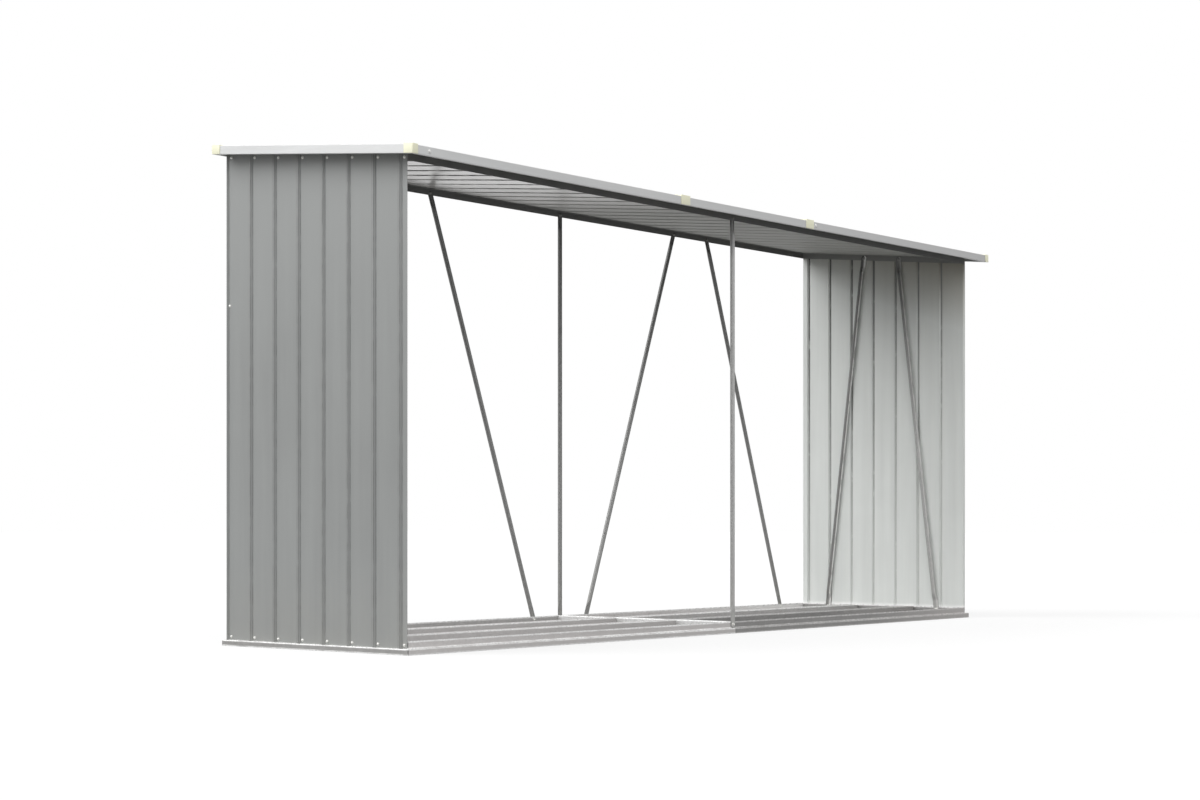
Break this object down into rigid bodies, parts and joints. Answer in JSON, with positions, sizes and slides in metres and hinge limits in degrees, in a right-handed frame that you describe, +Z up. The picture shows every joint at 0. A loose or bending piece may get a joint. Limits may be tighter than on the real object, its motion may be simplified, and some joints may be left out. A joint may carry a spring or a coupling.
{
  "type": "log store",
  "caption": "Open lean-to log store of folded sheet steel: ribbed end walls, a sloping ribbed roof with edge trim, a low base frame with runners, and tube posts and braces.",
  "frame": {"origin": "on the ground under the middle of the whole store's outline", "axes": "+X along the length, +Y from the low open front to the high back, +Z up"},
  "size_m": [3.3044, 0.8502, 1.5305],
  "materials": {
    "base_steel": "galvanised, satin",
    "tube_steel": "galvanised tube, satin",
    "wall_sheet": "coated ribbed sheet, satin",
    "beam_steel": "dark coated steel, satin",
    "roof_sheet": "coated ribbed sheet, glossy",
    "trim_steel": "coated folded trim, satin",
    "cap_plastic": "moulded cream plastic"
  },
  "bodies": {
    "root": {"front_rail_left": "base_steel", "front_rail_right": "base_steel", "back_rail_left": "base_steel", "back_rail_right": "base_steel", "left_rail": "base_steel", "right_rail": "base_steel", "front_runner_left": "base_steel", "front_runner_right": "base_steel", "rear_runner_left": "base_steel", "rear_runner_right": "base_steel", "cross_member": "base_steel", "front_post": "tube_steel", "back_post": "tube_steel", "back_brace_1": "tube_steel", "back_brace_2": "tube_steel", "back_brace_3": "tube_steel", "back_brace_4": "tube_steel", "left_wall_brace_front": "tube_steel", "left_wall_brace_rear": "tube_steel", "right_wall_brace_front": "tube_steel", "right_wall_brace_rear": "tube_steel", "left_wall": "wall_sheet", "right_wall": "wall_sheet", "front_beam_left": "beam_steel", "front_beam_right": "beam_steel", "back_beam_left": "beam_steel", "back_beam_right": "beam_steel", "left_top_rail": "beam_steel", "right_top_rail": "beam_steel", "roof_sheet_1": "roof_sheet", "roof_sheet_2": "roof_sheet", "roof_sheet_3": "roof_sheet", "roof_sheet_4": "roof_sheet", "front_trim_left": "trim_steel", "front_trim_middle": "trim_steel", "front_trim_right": "trim_steel", "back_trim_left": "trim_steel", "back_trim_middle": "trim_steel", "back_trim_right": "trim_steel", "left_trim": "trim_steel", "right_trim": "trim_steel", "corner_caps": "cap_plastic", "trim_clips": "cap_plastic"}
  },
  "joints": []
}
